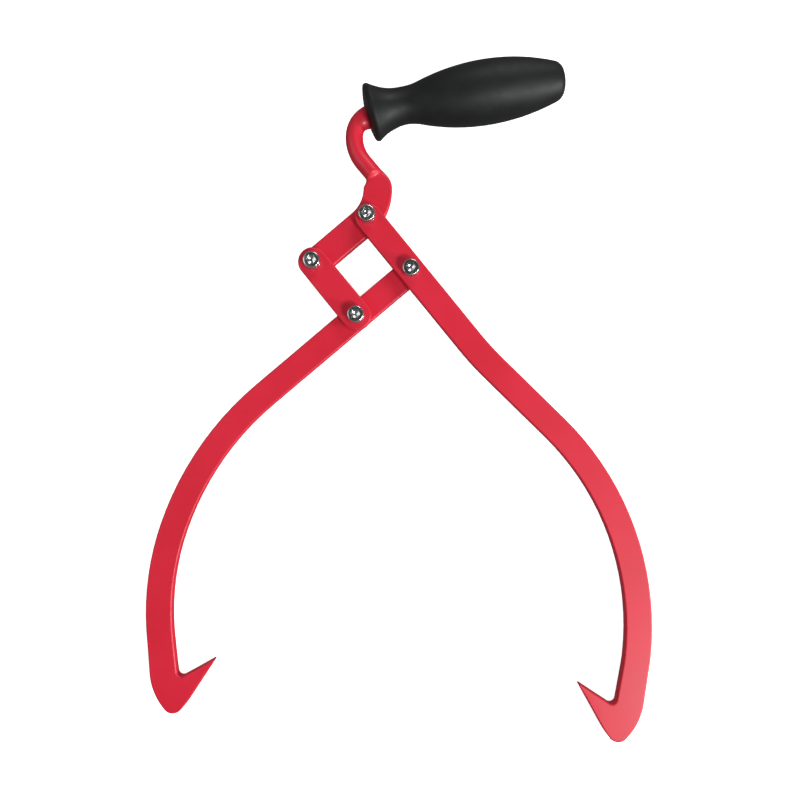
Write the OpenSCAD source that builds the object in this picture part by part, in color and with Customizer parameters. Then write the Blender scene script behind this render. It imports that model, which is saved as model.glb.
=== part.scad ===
// Log tongs: two hooked flat bars and a short link on four pivots, hung from a forged rod
// shank with an offset grip. The tongs lie on their back, screw heads up, grip towards +Y.

/* [Linkage] */
// Distance between the pivots along the right arm and along the link
arm_pitch = 41.5; // [38:0.5:60]
// Distance between the pivots along the shank and along the left arm
shank_pitch = 43; // [40:0.5:60]
// Slope of the right arm's upper stretch, in degrees below level
right_slope = 50.8; // [46:0.1:56]
// Slope of the left arm's upper stretch, in degrees below level
left_slope = 40.2; // [36:0.1:46]

/* [Flat bars] */
// Width of both arms
bar_w = 16; // [14:0.5:18]
// Thickness of every flat bar
bar_t = 6; // [4.5:0.5:8]
// Running gap between the front and the back layer
layer_gap = 0.3; // [0.2:0.05:0.6]
// How far the right arm's upper end stops short of a half round about its hole
end_short = 1; // [0:0.25:2]
// Width of the link at its left pivot
link_w_left = 17.5; // [14:0.5:18]
// Width of the link at its bottom pivot
link_w_bottom = 18; // [15:0.5:20]

/* [Right arm] */
// Straight stretch below the right pivot
right_straight = 57.4; // [40:0.1:80]
// Centre-line radius of the slight outward bend
right_bend_r = 172; // [120:1:300]
// Turn of the slight outward bend
right_bend_turn = 6.4; // [2:0.1:12]
// Straight stretch between the bend and the bow
right_middle = 52.8; // [30:0.1:80]
// Centre-line radius of the bow
right_bow_r = 167.5; // [140:0.5:220]
// Turn of the bow
right_bow_turn = 51.6; // [44:0.1:58]
// Centre-line radius of the bow's end, next to the hook
right_curl_r = 105; // [70:1:180]
// Turn of the bow's end
right_curl_turn = 4.4; // [2:0.1:8]

/* [Left arm] */
// Straight stretch from the right pivot past the bottom pivot
left_straight = 117.4; // [90:0.1:140]
// Centre-line radius of the bow's upper part
left_bow_r = 184.5; // [150:0.5:240]
// Turn of the bow's upper part
left_bow_turn = 30.9; // [24:0.1:36]
// Centre-line radius of the bow's lower part
left_curl_r = 160; // [130:0.5:220]
// Turn of the bow's lower part, down to the hook
left_curl_turn = 25; // [20:0.1:30]

/* [Hooks] */
// Length of the inner edge from the bow's end to the notch corner
notch_len = 24.6; // [18:0.1:32]
// Radius in the notch
notch_r = 3; // [1.5:0.1:5]
// Reach of the point, in from the bar's inner edge
point_reach = 24.9; // [18:0.1:30]
// How far the point lies back from the notch corner
point_back = 10.4; // [6:0.1:14]
// Radius of the point
point_r = 0.5; // [0.3:0.1:1]
// Length from the bow's end to the corner under the point
under_len = 39; // [36:0.1:39.3]
// Distance of that corner inside the centre line
under_in = 12.6; // [10:0.1:15]
// Radius over that corner
under_r = 40; // [20:1:50]
// Length from the bow's end to the heel corner
heel_len = 48.9; // [48:0.1:54]
// Distance of the heel corner inside the centre line
heel_in = 2.1; // [0:0.1:4]
// Radius of the heel
heel_r = 6.5; // [3:0.1:7]
// Length of the outer edge from the bow's end to the shoulder corner
shoulder_len = 30.5; // [26:0.1:31.5]
// How far the shoulder corner stands out past the bar's outer edge
shoulder_out = 1; // [0:0.1:1.5]
// Radius over the shoulder
shoulder_r = 38; // [10:0.5:40]

/* [Shank] */
// Diameter of the rod
rod_d = 10.8; // [9:0.1:12]
// Width of the forged flat
flat_w = 17.5; // [15:0.5:19]
// Where the neck's bend starts, before the top pivot
neck_lead = 5.2; // [4:0.1:10]
// Centre-line radius of the neck
neck_r = 28.8; // [24:0.1:36]
// Centre-line radius where the flat turns into rod
swage_r = 15.5; // [14:0.1:20]
// Turn where the flat turns into rod
swage_turn = 40; // [34:0.5:46]
// Straight rod above the flat
rod_lean = 8.2; // [4:0.1:14]
// Centre-line radius of the rod's long bend
rod_bend_r = 24; // [18:0.1:30]
// Centre-line radius of the bends at the grip
grip_bend_r = 15.5; // [12:0.1:20]
// Turn of the bend outside the grip
outer_turn = 60; // [50:0.5:70]
// Straight rod between the bend outside the grip and the bend inside it
rod_entry = 3.6; // [2:0.1:10]
// Length of the rod's straight tail inside the grip
tail_len = 90; // [60:1:98]
// Width across the pinched ears that keep the grip from turning
ear_w = 15; // [12:0.5:18]
// Thickness of the ears
ear_t = 3; // [2:0.5:5]
// Length of the ears
ear_len = 9; // [5:0.5:14]
// Tail beyond the ears
ear_end = 12; // [6:0.5:20]

/* [Grip] */
// Upward tilt of the grip and the rod's tail
grip_tilt = 9.1; // [5:0.1:15]
// Length of the grip on its axis, from the rim to the butt
grip_len = 119.5; // [115:0.1:130]
// Largest diameter, at the belly
grip_d = 37.5; // [34:0.5:42]
// Diameter at the waist
waist_d = 21.8; // [20:0.1:26]
// Distance of the waist from the rim
waist_at = 20.7; // [19:0.1:24]
// Radius of the hollow round the waist
waist_r = 33; // [30:0.5:40]
// Distance of the belly from the rim
belly_at = 71.5; // [64:0.5:76]
// Radius of the butt's edge
butt_r = 7; // [3:0.5:8]
// Largest diameter of the flared rim
rim_d = 33.4; // [30:0.1:36]
// Radius of the flared end's dome
dome_r = 60; // [50:1:120]
// Slant of the flared end against square
dome_slant = 6.4; // [0:0.1:10]
// Depth of the last bend's end below the rim
bend_inside = 6.2; // [4:0.1:9]

/* [Screws] */
// Diameter of the screws
screw_d = 6; // [5:0.5:7]
// How far the screws end short of the nuts' faces
screw_short = 0.1; // [0:0.1:1]
// Diameter of the screw heads
head_d = 10; // [9.5:0.5:13]
// Height of the screw heads
head_h = 6; // [5:0.5:8]
// Chamfer round the heads and on the screws' ends
screw_chamfer = 0.5; // [0.2:0.1:0.8]
// Width across the flats of the hexagon socket
socket_af = 5; // [4:0.5:6]
// Depth of the socket
socket_depth = 3; // [2:0.25:4]
// Width across the flats of the nuts
nut_af = 10; // [9.5:0.5:13]
// Height of the nuts with their collar
nut_h = 6; // [5.5:0.1:8]
// Height of the nuts' round collar
collar_h = 1.8; // [1.6:0.1:2.4]
// Outside diameter of the nylon rings
nylon_d = 8; // [7.6:0.1:8.6]
// Height of the nylon rings
nylon_h = 1.2; // [0.8:0.1:1.3]
// Diameter of the washers
washer_d = 12; // [11:0.5:16]
// Thickness of the washers
washer_t = 1.6; // [1:0.1:2]

/* [Clearances] */
// Radial clearance of the screws in the bars and washers
pivot_clear = 0.1; // [0.05:0.01:0.2]
// Radial clearance of the bottom screw in the left arm
open_clear = 0.2; // [0.1:0.05:0.4]
// Clearance under the heads and over the washers
head_play = 0.1; // [0.05:0.05:0.3]
// Clearance of the rod in the grip and of the screws in the nuts
seat_clear = 0.05; // [0.02:0.01:0.1]

/* [Hidden] */
$fn = 96;
arc_step = 3; // degrees between two points of a bar's outline
chord = 0.5; // least length between two points of a small arc
rod_step = 6; // degrees between two rings of the bent rod
forge_draw = 0.02; // how far the forged and bent rod lies inside its drawn size
reach = 1; // how far cutting tools run past what they cut

red_paint = [0.84, 0.17, 0.25];
black_plastic = [0.13, 0.13, 0.12];
zinc = [0.75, 0.76, 0.76];
nylon = [0.16, 0.33, 0.62];

// Heights of the two layers of bars and of the fasteners
axis_z = grip_d / 2;
back_z = axis_z - bar_t / 2;
front_z = back_z + bar_t + layer_gap;
head_z = front_z + bar_t + head_play;
washer_z = back_z - head_play - washer_t;
nut_z = washer_z - nut_h;

function unit(angle) = [cos(angle), sin(angle)];
function last(list) = list[len(list) - 1];
function place(s) = [s[0], s[1]];
function heading_of(v) = atan2(v[1], v[0]);
function all_but_last(list) = [for (i = [0:len(list) - 2]) list[i]];
function steps(turn, step = arc_step) = max(3, ceil(abs(turn) / step));
function arc_steps(r, turn) = max(3, ceil(min(abs(turn) / arc_step, abs(turn) * r / 360 * 2 * PI / chord)));

// Points on an arc round centre c, from angle a to angle b
function arc(c, r, a, b) =
    let (n = arc_steps(r, b - a))
    [for (i = [0:n]) c + r * unit(a + (b - a) * i / n)];

// A bar's centre line is a list of stretches that start at a station [x, y, heading].
// A stretch is [length, 0] where it is straight and [radius, turn] where it bends, and
// a turn to the left is positive.
function bend(s, r, turn) =
    let (c = place(s) + sign(turn) * r * unit(s[2] + 90))
    concat(c - sign(turn) * r * unit(s[2] + turn + 90), s[2] + turn);
function stations(s, stretch, step) = stretch[1] == 0
    ? [concat(place(s) + stretch[0] * unit(s[2]), s[2])]
    : let (n = steps(stretch[1], step))
      [for (i = [1:n]) bend(s, stretch[0], stretch[1] * i / n)];
function walk(s, stretches, step = arc_step, i = 0) = i == len(stretches)
    ? []
    : let (run = stations(s, stretches[i], step))
      concat(run, walk(last(run), stretches, step, i + 1));
function beside(s, off) = place(s) + off * unit(s[2] + 90);

// Points of the corner b between a and c, rounded to radius r
function corner(a, b, c, r) =
    let (u = (a - b) / norm(a - b),
         v = (c - b) / norm(c - b),
         half = acos(u * v) / 2,
         m = b + (u + v) / norm(u + v) * r / sin(half),
         from = b + u * r / tan(half) - m,
         to = b + v * r / tan(half) - m,
         start = atan2(from[1], from[0]),
         turn = atan2(to[1], to[0]) - start)
    arc(m, r, start, start + (turn > 180 ? turn - 360 : turn < -180 ? turn + 360 : turn));

// Pivots in plan, with the right one at the origin
pivot_right = [0, 0];
pivot_top = pivot_right + arm_pitch * unit(180 - right_slope);
pivot_bottom = pivot_right + shank_pitch * unit(180 + left_slope);
pivot_left = pivot_top + pivot_bottom - pivot_right;
PIVOTS = [["top", pivot_top], ["left", pivot_left],
    ["right", pivot_right], ["bottom", pivot_bottom]];

// Outline of a hook beyond station s, from the bar's outer edge round to its inner edge.
// Its corners are [length along the bar, distance out from the centre line, radius].
hook_corners = [
    [shoulder_len, bar_w / 2 + shoulder_out, shoulder_r],
    [heel_len, -heel_in, heel_r],
    [under_len, -under_in, under_r],
    [notch_len - point_back, -bar_w / 2 - point_reach, point_r],
    [notch_len, -bar_w / 2, notch_r]];
function hook(s, side) =
    let (ends = [[0, bar_w / 2, 0], [0, -bar_w / 2, 0]],
         all = concat([ends[0]], hook_corners, [ends[1]]),
         pts = [for (p = all) beside(concat(place(s) + p[0] * unit(s[2]), s[2]), side * p[1])])
    [for (i = [1:len(all) - 2]) each corner(pts[i - 1], pts[i], pts[i + 1], all[i][2])];

// Outline of an arm from the centre of its round end: side is 1 where its outer edge lies
// left of the centre line and -1 where it lies right of it.
function arm_outline(start, stretches, side) =
    let (line = walk(start, stretches), half = bar_w / 2, n = len(line), h = start[2])
    concat(
        arc(place(start), half, h - side * 90, h - side * 270),
        [for (s = line) beside(s, side * half)],
        hook(last(line), side),
        [for (i = [n - 1:-1:0]) beside(line[i], -side * half)]);

right_start = concat(pivot_top + end_short * unit(-right_slope), -right_slope);
right_outline = arm_outline(right_start, [
    [arm_pitch - end_short + right_straight, 0],
    [right_bend_r, right_bend_turn],
    [right_middle, 0],
    [right_bow_r, -right_bow_turn],
    [right_curl_r, -right_curl_turn]], 1);

left_start = concat(pivot_right, 180 + left_slope);
left_outline = arm_outline(left_start, [
    [left_straight, 0],
    [left_bow_r, left_bow_turn],
    [left_curl_r, left_curl_turn]], -1);

// Link: two round ends and their common tangents
link_lean = asin((link_w_bottom - link_w_left) / 2 / arm_pitch);
link_outline = concat(
    arc(pivot_left, link_w_left / 2, 90 - right_slope + link_lean, 270 - right_slope - link_lean),
    arc(pivot_bottom, link_w_bottom / 2, -90 - right_slope - link_lean, 90 - right_slope + link_lean));

// Shank: the forged flat, the swage where it turns into rod, and the rod's bends
flat_start = concat(pivot_left, left_slope);
flat_line = walk(flat_start, [[shank_pitch - neck_lead, 0], [neck_r, 90 - left_slope]]);
flat_outline = concat(
    arc(pivot_left, flat_w / 2, left_slope + 90, left_slope + 270),
    [for (s = flat_line) beside(s, -flat_w / 2)],
    [for (i = [len(flat_line) - 1:-1:0]) beside(flat_line[i], flat_w / 2)]);
swage_start = last(flat_line);
rod_start = bend(swage_start, swage_r, swage_turn);
rod_line = walk(rod_start, [
    [rod_lean, 0],
    [rod_bend_r, -swage_turn],
    [grip_bend_r, -outer_turn / 2]], rod_step);
entry_line = walk(last(rod_line), [
    [grip_bend_r, -outer_turn / 2],
    [rod_entry, 0],
    [grip_bend_r, grip_tilt + outer_turn - 90]], rod_step);
tail_start = last(entry_line);
rod_stations = concat(rod_line, entry_line, walk(tail_start, [[tail_len, 0]]));
bore_end = walk(tail_start, [[tail_len + seat_clear, 0]]);

// Grip, as [radius, length from the rim]: a hollow round the waist, the belly that it runs
// into and the butt's rounded edge, each arc tangent to the next
belly_rise = waist_d / 2 + waist_r - grip_d / 2;
belly_r = (pow(belly_at - waist_at, 2) + pow(belly_rise, 2) - pow(waist_r, 2))
    / (2 * (waist_r - belly_rise));
waist_c = [waist_d / 2 + waist_r, waist_at];
belly_c = [grip_d / 2 - belly_r, belly_at];
butt_c = [belly_c[0] + sqrt(pow(belly_r - butt_r, 2) - pow(grip_len - butt_r - belly_at, 2)),
    grip_len - butt_r];
rim_angle = acos((waist_c[0] - rim_d / 2) / waist_r);
dome_plane = sqrt(pow(dome_r, 2) - pow(rim_d / 2, 2));
dome_room = 2 * (dome_r - dome_plane) + 2 * rim_d * sin(dome_slant);
grip_profile = concat(
    [[0, -dome_room], [rim_d / 2, -dome_room]],
    all_but_last(arc(waist_c, waist_r, 180 + rim_angle, heading_of(belly_c - waist_c))),
    all_but_last(arc(belly_c, belly_r, heading_of(waist_c - belly_c), heading_of(butt_c - belly_c))),
    arc(butt_c, butt_r, heading_of(butt_c - belly_c), 90),
    [[0, grip_len]]);
grip_base = place(tail_start) - bend_inside * unit(grip_tilt);
grip_sides = [for (p = grip_profile, side = [-1, 1])
    grip_base + p[1] * unit(grip_tilt) + side * p[0] * unit(grip_tilt + 90)];

// The tongs are shifted so that the origin lies at the middle of their box, on the floor
extent = concat(right_outline, left_outline, grip_sides);
xs = [for (p = extent) p[0]];
ys = [for (p = extent) p[1]];
middle = [min(xs) + max(xs), min(ys) + max(ys)] / 2;

module in_place() {
    translate([-middle[0], -middle[1], 0])
        children();
}

module bar(outline, z) {
    translate([0, 0, z])
        linear_extrude(bar_t)
            polygon(outline);
}

module hole(p, z, clear) {
    translate([p[0], p[1], z - reach])
        cylinder(d = screw_d + 2 * clear, h = bar_t + 2 * reach);
}

// Cross-section at station s, a rounded oblong that is an ellipse where squareness is 2
rod_sides = 36;
function bulge(c, squareness) = sign(c) * pow(abs(c), 2 / squareness);
function section(s, width, height, squareness = 2) =
    [for (i = [0:rod_sides - 1]) let (a = 360 * i / rod_sides)
        concat(beside(s, (width / 2 - forge_draw) * bulge(cos(a), squareness)),
            axis_z + (height / 2 - forge_draw) * bulge(sin(a), squareness))];

// Solid through a row of cross-sections
module loft(rings) {
    n = rod_sides;
    m = len(rings) - 1;
    polyhedron(
        points = [for (ring = rings) each ring],
        faces = concat(
            [[for (i = [0:n - 1]) i]],
            [for (k = [0:m - 1], i = [0:n - 1]) let (j = (i + 1) % n)
                [k * n + i, (k + 1) * n + i, (k + 1) * n + j, k * n + j]],
            [[for (i = [n - 1:-1:0]) m * n + i]]));
}

// Pinched ears of the tail, grown by a clearance
module ears(clear) {
    size = [ear_len, ear_w, ear_t] + 2 * clear * [1, 1, 1];
    translate([tail_start[0], tail_start[1], axis_z])
        rotate([0, 0, grip_tilt])
            translate([tail_len - ear_end - ear_len - clear, -size[1] / 2, -size[2] / 2])
                cube(size);
}

// Swage, from the flat's end to the round rod: the flat keeps its thickness over the first
// half and its edges draw in all the way
swage_rings = 10;
flat_squareness = 12;
function ease(u) = let (v = min(1, max(0, u))) v * v * (3 - 2 * v);
function mix(a, b, u) = a + (b - a) * u;
swage_sections = [for (k = [0:swage_rings]) let (u = k / swage_rings)
    section(bend(swage_start, swage_r, swage_turn * u),
        mix(flat_w, rod_d, ease(u)),
        mix(bar_t, rod_d, ease(2 * u - 1)),
        mix(flat_squareness, 2, ease(u)))];

module handle_shank() {
    color(red_paint)
        in_place()
            difference() {
                union() {
                    bar(flat_outline, back_z);
                    loft(concat(swage_sections, [for (s = rod_stations) section(s, rod_d, rod_d)]));
                    ears(0);
                }
                hole(pivot_top, back_z, pivot_clear);
                hole(pivot_left, back_z, pivot_clear);
            }
}

module grip() {
    color(black_plastic)
        in_place()
            difference() {
                translate([grip_base[0], grip_base[1], axis_z])
                    rotate([0, 0, grip_tilt])
                        difference() {
                            rotate([0, 90, 0])
                                rotate_extrude()
                                    polygon(grip_profile);
                            difference() {
                                translate([-dome_room - reach, -grip_d / 2, -grip_d / 2])
                                    cube([dome_room + reach + waist_at / 4, grip_d, grip_d]);
                                translate(concat(dome_plane * unit(dome_slant), 0))
                                    sphere(dome_r);
                            }
                        }
                loft([for (s = concat([last(rod_line)], entry_line, bore_end))
                    section(s, rod_d + 2 * seat_clear, rod_d + 2 * seat_clear)]);
                ears(seat_clear);
            }
}

module right_arm() {
    color(red_paint)
        in_place()
            difference() {
                bar(right_outline, front_z);
                hole(pivot_top, front_z, pivot_clear);
                hole(pivot_right, front_z, pivot_clear);
            }
}

module left_arm() {
    color(red_paint)
        in_place()
            difference() {
                bar(left_outline, back_z);
                hole(pivot_right, back_z, pivot_clear);
                hole(pivot_bottom, back_z, open_clear);
            }
}

module link() {
    color(red_paint)
        in_place()
            difference() {
                bar(link_outline, front_z);
                hole(pivot_left, front_z, pivot_clear);
                hole(pivot_bottom, front_z, pivot_clear);
            }
}

// Hexagonal bar between two heights, measured across the flats
module hexagon(across, z, h) {
    translate([0, 0, z])
        cylinder(d = across / cos(30), h = h, $fn = 6);
}

module pivot_screw(p) {
    top = head_z + head_h;
    end = nut_z + screw_short;
    c = screw_chamfer;
    color(zinc)
        in_place()
            translate(p)
                difference() {
                    rotate_extrude()
                        polygon([[0, end], [screw_d / 2 - c, end], [screw_d / 2, end + c],
                            [screw_d / 2, head_z], [head_d / 2, head_z], [head_d / 2, top - c],
                            [head_d / 2 - c, top], [0, top]]);
                    hexagon(socket_af, top - socket_depth, socket_depth + reach);
                }
}

module washer(p) {
    color(zinc)
        in_place()
            translate([p[0], p[1], washer_z])
                difference() {
                    cylinder(d = washer_d, h = washer_t);
                    translate([0, 0, -reach])
                        cylinder(d = screw_d + 2 * pivot_clear, h = washer_t + 2 * reach);
                }
}

// The collar is turned down from the hexagon's flats and holds the nylon ring in a groove
module lock_nut(p) {
    groove_z = nut_z + (collar_h - nylon_h) / 2;
    color(zinc)
        in_place()
            translate(p)
                difference() {
                    union() {
                        hexagon(nut_af, nut_z + collar_h, nut_h - collar_h);
                        translate([0, 0, nut_z])
                            cylinder(d = nut_af, h = collar_h);
                    }
                    translate([0, 0, nut_z - reach])
                        cylinder(d = screw_d + 2 * seat_clear, h = nut_h + 2 * reach);
                    translate([0, 0, groove_z - seat_clear])
                        cylinder(d = nylon_d + 2 * seat_clear, h = nylon_h + 2 * seat_clear);
                    translate([0, 0, nut_z - reach])
                        cylinder(d = (screw_d + nylon_d) / 2, h = reach + collar_h / 2);
                }
}

module nylon_ring(p) {
    color(nylon)
        in_place()
            translate([p[0], p[1], nut_z + (collar_h - nylon_h) / 2])
                difference() {
                    cylinder(d = nylon_d, h = nylon_h);
                    translate([0, 0, -reach])
                        cylinder(d = screw_d + 2 * seat_clear, h = nylon_h + 2 * reach);
                }
}

handle_shank();
grip();
right_arm();
left_arm();
link();
for (pivot = PIVOTS) {
    pivot_screw(pivot[1]);
    washer(pivot[1]);
    lock_nut(pivot[1]);
    nylon_ring(pivot[1]);
}
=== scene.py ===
from math import acos, atan2, cos, degrees, hypot, pi, radians, sin, tan

import bmesh
import bpy
from mathutils import Matrix, Vector


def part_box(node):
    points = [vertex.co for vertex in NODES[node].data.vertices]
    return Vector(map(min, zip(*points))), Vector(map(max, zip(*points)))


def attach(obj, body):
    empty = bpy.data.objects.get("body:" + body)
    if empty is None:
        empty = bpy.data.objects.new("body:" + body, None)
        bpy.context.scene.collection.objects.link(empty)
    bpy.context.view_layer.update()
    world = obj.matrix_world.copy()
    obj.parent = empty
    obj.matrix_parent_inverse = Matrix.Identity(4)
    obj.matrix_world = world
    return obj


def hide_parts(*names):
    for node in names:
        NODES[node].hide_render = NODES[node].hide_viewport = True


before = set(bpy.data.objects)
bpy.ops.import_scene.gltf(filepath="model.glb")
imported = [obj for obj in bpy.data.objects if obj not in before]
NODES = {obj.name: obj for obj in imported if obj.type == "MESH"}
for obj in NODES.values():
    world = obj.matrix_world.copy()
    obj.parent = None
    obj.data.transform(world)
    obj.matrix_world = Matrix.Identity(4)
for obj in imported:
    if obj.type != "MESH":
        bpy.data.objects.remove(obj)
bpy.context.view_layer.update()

# Shank, flat end. The end of a round steel rod is forged down to a flat and drilled for two
# of the pivots. It is powder coated red with both arms and the link, before assembly.
MM = 0.001
BAR_T, FLAT_W, ROD_D = 6 * MM, 17.5 * MM, 10.8 * MM
AXIS_Z = (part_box("handle_shank")[0].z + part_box("handle_shank")[1].z) / 2


def linear(hexadecimal):
    """An sRGB hex colour as the linear RGBA that a node takes."""
    parts = [int(hexadecimal[i:i + 2], 16) / 255 for i in (1, 3, 5)]
    return [c / 12.92 if c <= 0.04045 else ((c + 0.055) / 1.055) ** 2.4 for c in parts] + [1]


def add_node(tree, kind, sockets=None, **settings):
    """A node with its settings, its sockets set to values or linked to other nodes' sockets."""
    node = tree.nodes.new(kind)
    for name, value in settings.items():
        setattr(node, name, value)
    for name, value in (sockets or {}).items():
        if isinstance(value, bpy.types.NodeSocket):
            tree.links.new(value, node.inputs[name])
        else:
            node.inputs[name].default_value = value
    return node


def new_material(name):
    """A material whose tree is empty but for its output, and that tree."""
    material = bpy.data.materials.new(name)
    material.use_nodes = True
    material.node_tree.nodes.clear()
    return material, material.node_tree


# Polyester powder coat on steel: a satin red film with a soft orange peel about 1.5 mm
# across, slow changes of shade where the film is thicker, and a few dark pin specks.
CLOUD_SIZE, PEEL_SIZE, PEEL_DEPTH = 45 * MM, 1.5 * MM, 0.04 * MM
SPECK_SPACING, SPECK_CORE, SPECK_RIM = 9 * MM, 0.022, 0.04
powder_red, tree = new_material("powder_coat_red")
place = add_node(tree, "ShaderNodeTexCoord").outputs["Object"]
shade = add_node(tree, "ShaderNodeTexNoise", {
    "Vector": place, "Scale": 1 / CLOUD_SIZE, "Detail": 3.0})
thickness = add_node(tree, "ShaderNodeMapRange", {
    "Value": shade.outputs["Fac"], "From Min": 0.35, "From Max": 0.65})
film = add_node(tree, "ShaderNodeMix", {
    "Factor": thickness.outputs["Result"], "A": linear("#CC102C"), "B": linear("#D41634")},
    data_type="RGBA")
specks = add_node(tree, "ShaderNodeTexVoronoi", {"Vector": place, "Scale": 1 / SPECK_SPACING})
speck_cover = add_node(tree, "ShaderNodeMapRange", {
    "Value": specks.outputs["Distance"], "From Min": SPECK_CORE, "From Max": SPECK_RIM,
    "To Min": 0.45, "To Max": 0.0})
colour = add_node(tree, "ShaderNodeMix", {
    "Factor": speck_cover.outputs["Result"], "A": film.outputs["Result"],
    "B": linear("#6E1220")}, data_type="RGBA")
peel = add_node(tree, "ShaderNodeTexNoise", {
    "Vector": place, "Scale": 1 / PEEL_SIZE, "Detail": 2.0})
peel_bump = add_node(tree, "ShaderNodeBump", {
    "Height": peel.outputs["Fac"], "Strength": 0.35, "Distance": PEEL_DEPTH})
gloss = add_node(tree, "ShaderNodeMapRange", {
    "Value": shade.outputs["Fac"], "To Min": 0.5, "To Max": 0.58})
shader = add_node(tree, "ShaderNodeBsdfPrincipled", {
    "Base Color": colour.outputs["Result"], "Roughness": gloss.outputs["Result"],
    "Normal": peel_bump.outputs["Normal"], "IOR": 1.47, "Coat Weight": 0.2,
    "Coat Roughness": 0.22})
add_node(tree, "ShaderNodeOutputMaterial", {"Surface": shader.outputs["BSDF"]})


def merged_copy(node_name):
    """The CAD node's mesh as a bmesh of closed, flat faces."""
    bm = bmesh.new()
    bm.from_mesh(NODES[node_name].data)
    bmesh.ops.remove_doubles(bm, verts=bm.verts, dist=0.001 * MM)
    bmesh.ops.dissolve_limit(bm, angle_limit=radians(0.4), verts=bm.verts, edges=bm.edges)
    bm.normal_update()
    return bm


def pivot(end):
    """Centre of a pivot in plan."""
    low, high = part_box("pivot_screw_" + end)
    return Vector(((low.x + high.x) / 2, (low.y + high.y) / 2, 0))


def plan_distance(point, other):
    return hypot(point.x - other.x, point.y - other.y)


UPRIGHT, LEVEL = 0.1, 0.9
HOLE_REACH = 4 * MM


def rim_edges(bm, pivots=()):
    """Edges between a bar's faces and its sides: (those of its outline, those of its holes)."""
    outline, holes = [], []
    for edge in bm.edges:
        if len(edge.link_faces) == 2:
            side, face = sorted(abs(face.normal.z) for face in edge.link_faces)
            if side < UPRIGHT and face > LEVEL:
                at_hole = any(plan_distance(v.co, centre) < HOLE_REACH
                              for v in edge.verts for centre in pivots)
                (holes if at_hole else outline).append(edge)
    return outline, holes


def boundary(bm):
    return [edge for edge in bm.edges if edge.is_boundary]


def add_piece(name, bm, material, body, replaces):
    """The bmesh as a finished piece that rides on a body and stands for CAD nodes."""
    mesh = bpy.data.meshes.new(name)
    bmesh.ops.recalc_face_normals(bm, faces=bm.faces)
    bm.to_mesh(mesh)
    bm.free()
    mesh.materials.append(material)
    mesh.shade_smooth()
    piece = bpy.data.objects.new(name, mesh)
    bpy.context.scene.collection.objects.link(piece)
    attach(piece, body)
    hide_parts(*replaces)
    return piece


# The flat is cut a hair below the start of the swage, and the rims of its holes and of its
# outline are rounded.
SWAGE_START = pivot("right") + Vector((-19.990, 50.801, 0)) * MM
SWAGE_R, SWAGE_TURN = 15.5 * MM, 40
CUT_BELOW = Vector((0, -0.05 * MM, 0))
HOLE_ROUND, FLAT_ROUND = 0.3 * MM, 1.2 * MM
FLAT_PIVOTS = (pivot("top"), pivot("left"))

shank = merged_copy("handle_shank")
bmesh.ops.bisect_plane(
    shank, geom=shank.verts[:] + shank.edges[:] + shank.faces[:], dist=0.0001 * MM,
    plane_co=SWAGE_START + CUT_BELOW, plane_no=(0, 1, 0), clear_outer=True)
_, shank_holes = rim_edges(shank, FLAT_PIVOTS)
bmesh.ops.bevel(shank, geom=shank_holes, offset=HOLE_ROUND, segments=2, profile=0.5,
                affect="EDGES", material=-1, clamp_overlap=True, loop_slide=False)
shank_rims, _ = rim_edges(shank, FLAT_PIVOTS)
bmesh.ops.bevel(shank, geom=shank_rims, offset=FLAT_ROUND, segments=3, profile=0.5,
                affect="EDGES", material=-1, clamp_overlap=False, loop_slide=False)

# The flat's open end is a rounded oblong. It is carried on ring by ring into the round rod,
# narrowing first and thickening late, as the forging does.
WIDE_SIDE, WIDE_CUTS = 10 * MM, 11
THIN_SIDE, THIN_CUTS = 2 * MM, 3
for edge in boundary(shank):
    length = edge.calc_length()
    cuts = WIDE_CUTS if length > WIDE_SIDE else THIN_CUTS if length > THIN_SIDE else 0
    if cuts:
        bmesh.ops.subdivide_edges(shank, edges=[edge], cuts=cuts)


def ring_around(verts, centre, heading):
    """A ring's vertices in order round it, starting on its left, seen along its heading."""
    side = Vector((-sin(radians(heading)), cos(radians(heading)), 0))

    def turn(v):
        off = v.co - centre
        return round(atan2(off.z, off.dot(side)) % (2 * pi), 6) % round(2 * pi, 6)
    return sorted(verts, key=turn)


def smooth_step(u):
    u = min(1, max(0, u))
    return u * u * (3 - 2 * u)


def raise_ring(bm):
    """Extrudes the open ring in place and returns its new vertices."""
    raised = bmesh.ops.extrude_edge_only(bm, edges=boundary(bm))["geom"]
    return [g for g in raised if isinstance(g, bmesh.types.BMVert)]


SWAGE_RINGS = 14
THICKENS_FROM, THICKENS_OVER = 0.62, 0.33
ROUNDS_FROM, ROUNDS_OVER = 0.3, 0.65
swage_centre = SWAGE_START + Vector((-SWAGE_R, 0, 0))


def on_swage(share):
    """The shank's axis at a share of the swage's bend: (point in plan, heading)."""
    turn = SWAGE_TURN * share
    outward = Vector((cos(radians(turn)), sin(radians(turn)), 0))
    return swage_centre + SWAGE_R * outward, 90 + turn


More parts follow.
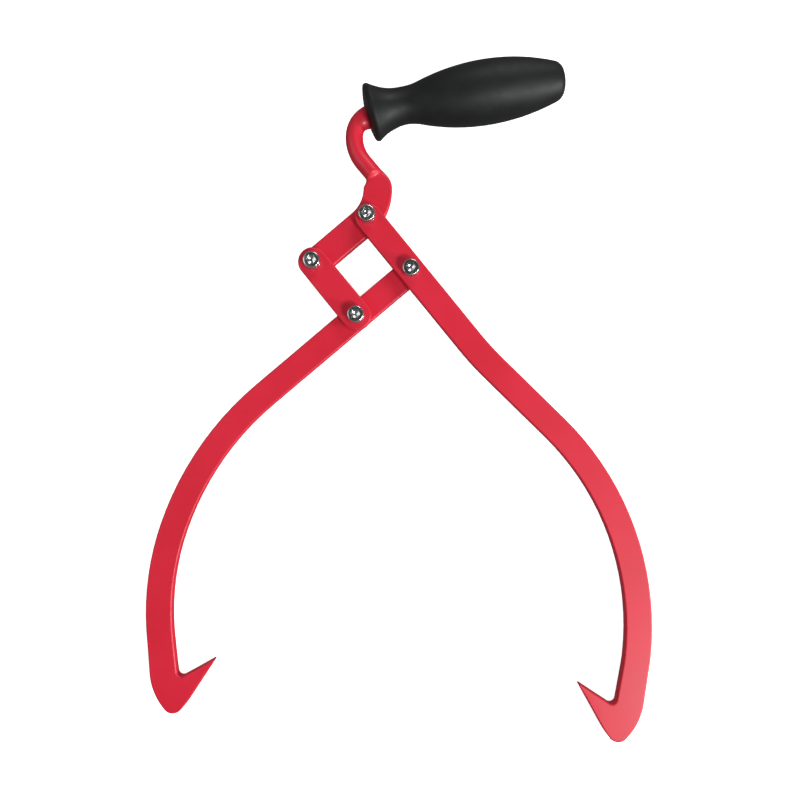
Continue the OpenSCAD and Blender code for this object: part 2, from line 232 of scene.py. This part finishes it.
flat_end = SWAGE_START + CUT_BELOW + Vector((0, 0, AXIS_Z))
ring = ring_around([v for v in shank.verts if v.is_boundary], flat_end, 90)
oblong = [(flat_end.x - v.co.x, v.co.z - AXIS_Z) for v in ring]
for k in range(SWAGE_RINGS):
    here, heading = on_swage(k / SWAGE_RINGS)
    order = ring_around(raise_ring(shank), here + Vector((0, 0, AXIS_Z)), heading)
    u = (k + 1) / SWAGE_RINGS
    ahead, heading = on_swage(u)
    side = Vector((-sin(radians(heading)), cos(radians(heading)), 0))
    narrow = smooth_step(u)
    thick = smooth_step((u - THICKENS_FROM) / THICKENS_OVER)
    rounding = smooth_step((u - ROUNDS_FROM) / ROUNDS_OVER)
    for i, v in enumerate(order):
        w, h = oblong[i]
        w *= 1 + (ROD_D / FLAT_W - 1) * narrow
        h *= 1 + (ROD_D / BAR_T - 1) * thick
        angle = 2 * pi * i / len(order)
        round_w = ROD_D / 2 * cos(angle) * (1 + (FLAT_W / ROD_D - 1) * (1 - narrow))
        round_h = ROD_D / 2 * sin(angle) * (1 + (BAR_T / ROD_D - 1) * (1 - thick))
        w += (round_w - w) * rounding
        h += (round_h - h) * rounding
        v.co = ahead + side * w + Vector((0, 0, AXIS_Z + h))

# Shank, rod. The round part is bent cold: a straight lean, the long bend towards the grip,
# and a tight bend into it. Its straight tail has two pinched ears that keep the grip from
# turning.
GRIP_TILT = 9.1
ROD_BENDS = ((8.2, 24, -40), (0, 15.5, -60), (3.6, 15.5, GRIP_TILT - 30))
BEND_STEP = 4


def run_on(bm, step):
    """Carries the open ring on by a straight step and returns its new vertices."""
    moved = raise_ring(bm)
    bmesh.ops.translate(bm, verts=moved, vec=step)
    return moved


# Each bend is (straight run before it in mm, radius in mm, turn in degrees).
rod_end, heading = on_swage(1)
for length, radius, turn in ROD_BENDS:
    along = Vector((cos(radians(heading)), sin(radians(heading)), 0))
    inward = Vector((along.y, -along.x, 0))
    if length:
        run_on(shank, along * length * MM)
        rod_end += along * length * MM
    bend_start = rod_end
    bend_centre = rod_end + inward * radius * MM
    ring_edges = boundary(shank)
    bmesh.ops.spin(
        shank, geom=ring_edges + list({v for e in ring_edges for v in e.verts}),
        cent=bend_centre, axis=(0, 0, 1), dvec=(0, 0, 0), angle=radians(turn),
        steps=max(3, round(abs(turn) / BEND_STEP)), use_merge=False, use_duplicate=False)
    rod_end = bend_centre + Matrix.Rotation(radians(turn), 3, "Z") @ (rod_end - bend_centre)
    heading += turn

# The tight bend pushes the steel out on its inner side, just before the rod enters the grip.
SWELL, SWELL_REACH, SWELL_BEFORE = 4.0 * MM, 8.5 * MM, 2.0 * MM
swell_centre = bend_start - along * SWELL_BEFORE
for v in shank.verts:
    off = v.co - swell_centre
    depth = off.dot(inward) / (ROD_D / 2)
    if depth > 0 and hypot(off.x, off.y) < 2 * SWELL_REACH:
        near = 1 - smooth_step(abs(off.dot(along)) / SWELL_REACH)
        v.co += inward * SWELL * min(depth, 1) * near

# The tail runs on in steps of (length in mm, widening, heightening).
EAR_WIDE, EAR_HIGH, TIP_TAPER = 1.36, 0.62, 0.86
TAIL_STEPS = ((68, 1, 1), (1.5, EAR_WIDE, EAR_HIGH), (8, 1, 1),
              (1.5, 1 / EAR_WIDE, 1 / EAR_HIGH), (10.2, 1, 1), (0.8, TIP_TAPER, TIP_TAPER))
grip_heading = Vector((cos(radians(GRIP_TILT)), sin(radians(GRIP_TILT)), 0))
across = Vector((-grip_heading.y, grip_heading.x, 0))
for length, wide, high in TAIL_STEPS:
    moved = run_on(shank, grip_heading * length * MM)
    rod_end += grip_heading * length * MM
    for v in moved:
        off = v.co - rod_end - Vector((0, 0, AXIS_Z))
        v.co += across * off.dot(across) * (wide - 1) + Vector((0, 0, off.z * (high - 1)))
bmesh.ops.edgeloop_fill(shank, edges=boundary(shank))
FLAT_FACE_WEIGHT = 60
shank_piece = add_piece("shank_forging", shank, powder_red, "shank_assembly",
                        ["handle_shank"])
shank_piece.modifiers.new("true_faces", "WEIGHTED_NORMAL").weight = FLAT_FACE_WEIGHT

# Grip. A hollow moulding of black polypropylene, pressed over the rod's tail. It swells to
# a belly, narrows to a waist and flares to a domed end that stands a little aslant.
GRIP_BASE = pivot("right") + Vector((-24.458 * MM, 98.597 * MM, AXIS_Z))
GRIP_LEN, WAIST_AT, BELLY_AT = 119.5 * MM, 20.7 * MM, 71.5 * MM
BELLY_HALF, WAIST_HALF, WAIST_R = 18.7 * MM, 10.9 * MM, 33 * MM
LIP_R, DOME_R, DOME_CENTRE_AT = 2.3 * MM, 60 * MM, 56.75 * MM
BUTT_R, BUTT_CROWN, POLE_R = 7 * MM, 0.3 * MM, 0.05 * MM

# Polypropylene moulded in a finely sparked tool: near black, a satin grain about 0.5 mm
# across, and cloudy patches where the grain is polished by handling.
HANDLED_SIZE, GRAIN_SIZE, GRAIN_DEPTH = 9 * MM, 0.5 * MM, 0.04 * MM
black_grip, tree = new_material("moulded_black_polypropylene")
place = add_node(tree, "ShaderNodeTexCoord").outputs["Object"]
clouds = add_node(tree, "ShaderNodeTexNoise", {
    "Vector": place, "Scale": 1 / HANDLED_SIZE, "Detail": 5.0, "Roughness": 0.6})
grain = add_node(tree, "ShaderNodeTexNoise", {
    "Vector": place, "Scale": 1 / GRAIN_SIZE, "Detail": 2.0})
grain_bump = add_node(tree, "ShaderNodeBump", {
    "Height": grain.outputs["Fac"], "Strength": 0.5, "Distance": GRAIN_DEPTH})
tone = add_node(tree, "ShaderNodeMix", {
    "Factor": clouds.outputs["Fac"], "A": linear("#0C0E0D"), "B": linear("#151817")},
    data_type="RGBA")
polish = add_node(tree, "ShaderNodeMapRange", {
    "Value": clouds.outputs["Fac"], "From Min": 0.3, "From Max": 0.7, "To Min": 0.48,
    "To Max": 0.62})
shader = add_node(tree, "ShaderNodeBsdfPrincipled", {
    "Base Color": tone.outputs["Result"], "Roughness": polish.outputs["Result"],
    "Normal": grain_bump.outputs["Normal"], "IOR": 1.49, "Specular IOR Level": 0.32})
add_node(tree, "ShaderNodeOutputMaterial", {"Surface": shader.outputs["BSDF"]})


# The outline is a chain of arcs that touch: dome, lip, waist, belly and the far end's edge.
# Its line is drawn round each arc's centre and then spun about the grip's axis.
def heading_of(v):
    return degrees(atan2(v.y, v.x))


def sweep_arc(bm, end, centre, turn, steps):
    """Carries an open line's last vertex round a centre and returns the new last vertex."""
    made = bmesh.ops.spin(bm, geom=end, cent=centre, axis=(0, 0, 1), dvec=(0, 0, 0),
                          angle=radians(turn), steps=steps, use_merge=False,
                          use_duplicate=False)
    return [g for g in made["geom_last"] if isinstance(g, bmesh.types.BMVert)]


belly_rise = WAIST_HALF + WAIST_R - BELLY_HALF
belly_r = (((BELLY_AT - WAIST_AT) ** 2 + belly_rise ** 2 - WAIST_R ** 2)
           / (2 * (WAIST_R - belly_rise)))
waist_centre = Vector((WAIST_AT, WAIST_HALF + WAIST_R, 0))
belly_centre = Vector((BELLY_AT, BELLY_HALF - belly_r, 0))
butt_centre = Vector((GRIP_LEN - BUTT_R, 0, 0))
butt_centre.y = belly_centre.y + ((belly_r - BUTT_R) ** 2
                                  - (butt_centre.x - BELLY_AT) ** 2) ** 0.5
dome_centre = Vector((DOME_CENTRE_AT, 0, 0))
to_waist = waist_centre - dome_centre
lip_from_dome, lip_from_waist = DOME_R - LIP_R, WAIST_R + LIP_R
lip_angle = radians(heading_of(to_waist)) + acos(
    (lip_from_dome ** 2 + to_waist.length ** 2 - lip_from_waist ** 2)
    / (2 * lip_from_dome * to_waist.length))
lip_centre = dome_centre + lip_from_dome * Vector((cos(lip_angle), sin(lip_angle), 0))
dome_to_lip = heading_of(lip_centre - dome_centre)
lip_to_waist = heading_of(waist_centre - lip_centre)
waist_to_belly = heading_of(belly_centre - waist_centre)
belly_to_butt = heading_of(butt_centre - belly_centre)

grip = bmesh.new()
end = bmesh.ops.create_vert(grip, co=(dome_centre.x - DOME_R, POLE_R, 0))["vert"]
end = sweep_arc(grip, end, dome_centre, dome_to_lip - 180, 10)
end = sweep_arc(grip, end, lip_centre, lip_to_waist - dome_to_lip, 8)
end = sweep_arc(grip, end, waist_centre,
                waist_to_belly % 360 - heading_of(lip_centre - waist_centre) % 360, 18)
end = sweep_arc(grip, end, belly_centre,
                belly_to_butt - heading_of(waist_centre - belly_centre), 26)
end = sweep_arc(grip, end, butt_centre, -belly_to_butt, 8)
tip = bmesh.ops.extrude_vert_indiv(grip, verts=end)["verts"]
bmesh.ops.translate(grip, verts=tip, vec=(BUTT_CROWN, POLE_R - tip[0].co.y, 0))
bmesh.ops.spin(grip, geom=grip.verts[:] + grip.edges[:], cent=(0, 0, 0), axis=(1, 0, 0),
               dvec=(0, 0, 0), angle=2 * pi, steps=96, use_merge=True, use_duplicate=False)
bmesh.ops.remove_doubles(grip, verts=grip.verts, dist=0.002 * MM)

# The flared end leans over, and its flare hangs a little lower than the axis.
DOME_SLANT, FLARE_DROP = 6.4, 1.1 * MM
LEAN_FROM, LEAN_OVER = 1 * MM, 11 * MM
DROP_FROM, DROP_OVER = 8 * MM, 14 * MM
for v in grip.verts:
    drop = 1 - smooth_step((v.co.x - DROP_FROM) / DROP_OVER)
    lean = 1 - smooth_step((v.co.x - LEAN_FROM) / LEAN_OVER)
    v.co.x -= v.co.y * tan(radians(DOME_SLANT)) * lean
    v.co.y -= FLARE_DROP * drop
grip.transform(Matrix.Translation(GRIP_BASE) @ Matrix.Rotation(radians(GRIP_TILT), 4, "Z"))
add_piece("hand_grip", grip, black_grip, "shank_assembly", ["grip"])

# Arms and link. Both arms and the short link are cut from 16 x 6 mm flat bar, the arms bent
# edgeways and their hooks cut to a point. Their edges are rounded before they are coated,
# less and less towards the points.
EDGE_R, HOLE_SHARE = 1.0 * MM, 0.3
HOOK_POINTS = {"right_arm": pivot("right") + Vector((100.3, -248.8, 0)) * MM,
               "left_arm": pivot("right") + Vector((-119.6, -236.6, 0)) * MM}
LONG_EDGE, AT_POINT, POINT_CUTS = 8 * MM, 2 * MM, 14
POINT_SHARE, FULL_FROM = 0.2, 14 * MM
BARS = (("right_arm", "right_arm_assembly", ("top", "right")),
        ("left_arm", "left_arm_body", ("right", "bottom")),
        ("link", "link_assembly", ("left", "bottom")))
for node_name, body, ends in BARS:
    bar = merged_copy(node_name)
    point = HOOK_POINTS.get(node_name)
    if point:
        outline, _ = rim_edges(bar)
        bmesh.ops.subdivide_edges(bar, cuts=POINT_CUTS, edges=[
            e for e in outline if e.calc_length() > LONG_EDGE
            and min(plan_distance(v.co, point) for v in e.verts) < AT_POINT])
    weight = bar.edges.layers.float.new("bevel_weight_edge")
    outline, holes = rim_edges(bar, [pivot(end) for end in ends])
    for edge in holes:
        edge[weight] = HOLE_SHARE
    for edge in outline:
        edge[weight] = 1.0
        if point:
            middle = (edge.verts[0].co + edge.verts[1].co) / 2
            edge[weight] = min(1, POINT_SHARE + plan_distance(middle, point) / FULL_FROM)
    piece = add_piece(node_name + "_bar", bar, powder_red, body, [node_name])
    rounding = piece.modifiers.new("rounded_edges", "BEVEL")
    rounding.width, rounding.segments, rounding.limit_method = EDGE_R, 3, "WEIGHT"
    rounding.use_clamp_overlap = rounding.loop_slide = False
    piece.modifiers.new("true_faces", "WEIGHTED_NORMAL").weight = FLAT_FACE_WEIGHT

# Pivot screws. Four M6 socket head screws, zinc plated, with knurled heads. Each passes down
# through two bars and a washer into its nut, with its lower end threaded.
HEAD_TOP, HEAD_BASE, THREAD_TOP, THREAD_END = 34.15, 28.15, 17.6, 8.15
HEAD_R, SCREW_R, SOCKET_FLATS = 5, 3, 5
KNURLS, KNURL_DEPTH, SCREW_SEGMENTS = 36, 0.28, 144
THREADS, PITCH, GROOVE_DEPTH = 9, 1, 0.45

# Bright zinc plate on turned steel: a silver metal that mirrors softly, with fine turning
# marks and a slightly blue, patchy passivation.
PATCH_SIZE, MARK_SIZE, MARK_DEPTH = 2.5 * MM, 0.35 * MM, 0.02 * MM
bright_zinc, tree = new_material("bright_zinc_plate")
place = add_node(tree, "ShaderNodeTexCoord").outputs["Object"]
patches = add_node(tree, "ShaderNodeTexNoise", {
    "Vector": place, "Scale": 1 / PATCH_SIZE, "Detail": 3.0})
tone = add_node(tree, "ShaderNodeMix", {
    "Factor": patches.outputs["Fac"], "A": linear("#B9BDBE"), "B": linear("#DADCDC")},
    data_type="RGBA")
dulled = add_node(tree, "ShaderNodeMapRange", {
    "Value": patches.outputs["Fac"], "From Min": 0.3, "From Max": 0.7, "To Min": 0.14,
    "To Max": 0.3})
marks = add_node(tree, "ShaderNodeTexNoise", {
    "Vector": place, "Scale": 1 / MARK_SIZE, "Detail": 2.0})
mark_bump = add_node(tree, "ShaderNodeBump", {
    "Height": marks.outputs["Fac"], "Strength": 0.25, "Distance": MARK_DEPTH})
shader = add_node(tree, "ShaderNodeBsdfPrincipled", {
    "Base Color": tone.outputs["Result"], "Metallic": 1.0,
    "Roughness": dulled.outputs["Result"], "Normal": mark_bump.outputs["Normal"]})
add_node(tree, "ShaderNodeOutputMaterial", {"Surface": shader.outputs["BSDF"]})


def turned(rings, segments, closed=False):
    """A part turned about the Z axis through rings of (height, radius), in millimetres.

    A radius may be a function of the angle. A closed part has its last ring joined to its
    first, and the ends of an open one are filled.
    """
    bm = bmesh.new()
    verts = bmesh.ops.create_circle(bm, cap_ends=False, segments=segments, radius=1)["verts"]
    first = edges = bm.edges[:]
    for k, (z, radius) in enumerate(rings):
        if k:
            raised = bmesh.ops.extrude_edge_only(bm, edges=edges)["geom"]
            verts = [g for g in raised if isinstance(g, bmesh.types.BMVert)]
            edges = [g for g in raised if isinstance(g, bmesh.types.BMEdge)
                     and all(v in verts for v in g.verts)]
        for v in verts:
            angle = atan2(v.co.y, v.co.x)
            size = radius(angle) if callable(radius) else radius
            v.co = Vector((size * cos(angle), size * sin(angle), z)) * MM
    if closed:
        bmesh.ops.bridge_loops(bm, edges=first + edges)
    else:
        bmesh.ops.edgeloop_fill(bm, edges=first)
        bmesh.ops.edgeloop_fill(bm, edges=edges)
    return bm


def hexagon_radius(flats, angle):
    """Radius of a hexagon at an angle, from its width across the flats."""
    return flats / 2 / cos((angle % (pi / 3)) - pi / 6)


def socket(play):
    return lambda angle: hexagon_radius(SOCKET_FLATS + 2 * play, angle)


def knurl(depth):
    return lambda angle: HEAD_R - depth * (0.5 - 0.5 * cos(KNURLS * angle))


SHARP_ANGLE = 32


def add_turned(name, bm, end, material, body, replaces):
    """Sets a turned part on its pivot, with its corners kept sharp."""
    bm.transform(Matrix.Translation(pivot(end)))
    piece = add_piece(name, bm, material, body, replaces)
    piece.data.set_sharp_from_angle(angle=radians(SHARP_ANGLE))


# The rings run from the socket's rounded floor up its walls, over the head and its knurled
# side, and down the plain shank to the thread.
SCREW_BODIES = {"top": "shank_assembly", "left": "shank_assembly",
                "right": "right_arm_assembly", "bottom": "link_assembly"}
SOCKET_RINGS = [(3.0, 0.2), (2.88, 0.8), (2.6, 1.5), (2.2, 2.1), (2.1, socket(0)),
                (0.35, socket(0)), (0.02, socket(0.22))]
CROWN_RINGS = [(0, 3.35), (0, 4.4), (0.12, 4.66), (0.5, 4.93), (0.75, knurl(0)),
               (0.95, knurl(KNURL_DEPTH))]
FOOT_RINGS = [(0.9, knurl(KNURL_DEPTH)), (0.7, knurl(0)), (0.2, 4.95), (0, 4.75), (0, 3.05),
              (-0.1, SCREW_R)]
screw_rings = [(HEAD_TOP - down, radius) for down, radius in SOCKET_RINGS + CROWN_RINGS]
screw_rings += [(HEAD_BASE + up, radius) for up, radius in FOOT_RINGS]
screw_rings += [(THREAD_TOP + 0.4, SCREW_R)]
for turn in range(THREADS):
    crest = THREAD_TOP - turn * PITCH
    screw_rings += [(crest, SCREW_R), (crest - 0.1, SCREW_R),
                    (crest - PITCH / 2, SCREW_R - GROOVE_DEPTH)]
screw_rings += [(THREAD_END + 0.5, SCREW_R - 0.1), (THREAD_END, SCREW_R - 0.6)]
for end, body in SCREW_BODIES.items():
    add_turned("screw_" + end, turned(screw_rings, SCREW_SEGMENTS), end, bright_zinc, body,
               ["pivot_screw_" + end])

# Washers. Plain M6 washers, stamped from zinc-plated strip, one over each nut: the stamping
# leaves one edge rounded and the other square.
WASHER_LOW, WASHER_HIGH, RING_SEGMENTS = 14.05, 15.65, 96
washer_rings = [(WASHER_HIGH, 3.2), (WASHER_HIGH, 5.6), (WASHER_HIGH - 0.12, 5.85),
                (WASHER_HIGH - 0.4, 6), (WASHER_LOW + 0.1, 6), (WASHER_LOW, 5.9),
                (WASHER_LOW, 3.25), (WASHER_LOW + 0.15, 3.1), (WASHER_HIGH - 0.1, 3.1)]
for end, body in SCREW_BODIES.items():
    add_turned("flat_washer_" + end, turned(washer_rings, RING_SEGMENTS, closed=True), end,
               bright_zinc, body, ["washer_" + end])

# Lock nuts. M6 hexagon nuts with chamfered corners and a round collar that is rolled over a
# nylon ring, so that the pivots stay free without coming undone.
NUT_LOW, NUT_HIGH, NUT_FLATS = 8.05, 14.05, 10


def corner_cut(limit):
    return lambda angle: min(hexagon_radius(NUT_FLATS, angle), limit)


# The rings go round the nut's section: its seat, its hexagon, its collar with the groove for
# the ring, and its bore. The first list is measured down from the seat.
SEAT_RINGS = [(0, 3.35), (0, 4.75), (0.15, corner_cut(5.05)), (0.35, corner_cut(5.4)),
              (0.6, corner_cut(5.75))]
COLLAR_RINGS = [(2.4, corner_cut(5.75)), (2.1, corner_cut(5.4)), (1.85, corner_cut(5.05)),
                (1.75, 4.9), (0.8, 4.86), (0.3, 4.7), (0.08, 4.4), (0, 4.0), (0.05, 3.62),
                (0.28, 3.52), (0.29, 3.9), (1.5, 4.04), (1.6, 3.08)]
nut_rings = [(NUT_HIGH - down, radius) for down, radius in SEAT_RINGS]
nut_rings += [(NUT_LOW + up, radius) for up, radius in COLLAR_RINGS]
nut_rings += [(NUT_HIGH - 0.3, 3.08)]
for end, body in SCREW_BODIES.items():
    add_turned("nut_" + end, turned(nut_rings, RING_SEGMENTS, closed=True), end, bright_zinc,
               body, ["lock_nut_" + end])

# Nylon rings. Each is pressed into its nut's collar and grips the screw's thread.
# Polyamide: a translucent blue plastic, smooth where it was moulded.
NYLON_LOW, NYLON_HIGH, NYLON_SEGMENTS = 8.36, 9.5, 72
TINT_SIZE = 1.5 * MM
blue_nylon, tree = new_material("moulded_blue_nylon")
place = add_node(tree, "ShaderNodeTexCoord").outputs["Object"]
tint = add_node(tree, "ShaderNodeTexNoise", {
    "Vector": place, "Scale": 1 / TINT_SIZE, "Detail": 2.0})
tone = add_node(tree, "ShaderNodeMix", {
    "Factor": tint.outputs["Fac"], "A": linear("#24509A"), "B": linear("#2F62B4")},
    data_type="RGBA")
shader = add_node(tree, "ShaderNodeBsdfPrincipled", {
    "Base Color": tone.outputs["Result"], "Roughness": 0.38, "IOR": 1.53,
    "Subsurface Weight": 0.1, "Subsurface Scale": 0.5 * MM})
add_node(tree, "ShaderNodeOutputMaterial", {"Surface": shader.outputs["BSDF"]})
nylon_rings = [(NYLON_HIGH, 3.1), (NYLON_HIGH, 3.9), (NYLON_LOW, 3.87), (NYLON_LOW, 3.3),
               (NYLON_LOW + 0.2, 3.1)]
for end, body in SCREW_BODIES.items():
    add_turned("nylon_insert_" + end, turned(nylon_rings, NYLON_SEGMENTS, closed=True), end,
               blue_nylon, body, ["nylon_ring_" + end])

# Studio. A matt white sheet lies under the tongs, touching the grip's belly and the backs of
# both hooks, which is how they rest. A large soft box lights it from the lower right and a
# low one rakes across it from the right, with weak ones to the left and above.
SHEET_SLOPE_X, SHEET_SLOPE_Y, SHEET_HEIGHT = 0.01977, -0.05234, 8.6 * MM
SHEET_REACH = 20.0
sheet = bmesh.new()
bmesh.ops.create_grid(sheet, x_segments=1, y_segments=1, size=SHEET_REACH)
for v in sheet.verts:
    v.co.z = SHEET_SLOPE_X * v.co.x + SHEET_SLOPE_Y * v.co.y + SHEET_HEIGHT
floor_mesh = bpy.data.meshes.new("floor_sheet")
sheet.to_mesh(floor_mesh)
sheet.free()
matt_white, tree = new_material("matt_white_sheet")
shader = add_node(tree, "ShaderNodeBsdfPrincipled", {
    "Base Color": linear("#F7F7F6"), "Roughness": 0.9, "Specular IOR Level": 0.1,
    "Emission Color": linear("#FFFFFF"), "Emission Strength": 0.85})
add_node(tree, "ShaderNodeOutputMaterial", {"Surface": shader.outputs["BSDF"]})
floor_mesh.materials.append(matt_white)
floor_sheet = bpy.data.objects.new("floor_sheet", floor_mesh)
bpy.context.scene.collection.objects.link(floor_sheet)
floor_sheet.visible_diffuse = floor_sheet.visible_glossy = False

# The room is a dim even grey that darkens overhead, which the screw heads mirror.
ROOM_GLOW, OVERHEAD_GLOW = 0.2, 0.05
DIMS_FROM, DIMS_TO = 0.6, 0.95
scene = bpy.context.scene
scene.view_settings.view_transform = "Standard"
scene.view_settings.look = "None"
scene.world = bpy.data.worlds.new("studio")
scene.world.use_nodes = True
tree = scene.world.node_tree
tree.nodes.clear()
upward = add_node(tree, "ShaderNodeSeparateXYZ", {
    "Vector": add_node(tree, "ShaderNodeTexCoord").outputs["Generated"]})
dimmed = add_node(tree, "ShaderNodeMapRange", {
    "Value": upward.outputs["Z"], "From Min": DIMS_FROM, "From Max": DIMS_TO,
    "To Min": ROOM_GLOW, "To Max": OVERHEAD_GLOW})
room = add_node(tree, "ShaderNodeBackground", {
    "Color": linear("#FFFFFF"), "Strength": dimmed.outputs["Result"]})
add_node(tree, "ShaderNodeOutputWorld", {"Surface": room.outputs["Background"]})

# Each soft box is (name, place, point it faces, side in metres, power in watts).
SOFT_BOXES = (("key", (1.15, -1.02, 1.6), (0, -0.03, 0.02), 0.5, 33),
              ("rake", (1.5, -0.45, 0.45), (0, 0, 0.02), 0.4, 19),
              ("fill_left", (-1.0, 0.1, 0.9), (0, 0, 0), 0.9, 4),
              ("fill_top", (0.5, 1.6, 1.1), (0, 0.05, 0), 0.7, 11))
for name, place, aim, size, power in SOFT_BOXES:
    light = bpy.data.lights.new(name, "AREA")
    light.shape, light.size, light.energy = "SQUARE", size, power
    lamp = bpy.data.objects.new(name, light)
    facing = (Vector(aim) - Vector(place)).to_track_quat("-Z", "Y").to_matrix().to_4x4()
    lamp.matrix_world = Matrix.Translation(place) @ facing
    scene.collection.objects.link(lamp)

# Camera. It looks straight down from 400 mm over the front bars' faces.
lens = bpy.data.cameras.new("overhead")
lens.lens, lens.sensor_width = 30, 36
lens.clip_start = 0.01
camera = bpy.data.objects.new("overhead", lens)
camera.location = pivot("right") + Vector((-6.45, -78.8, 428.05)) * MM
scene.collection.objects.link(camera)
scene.camera = camera
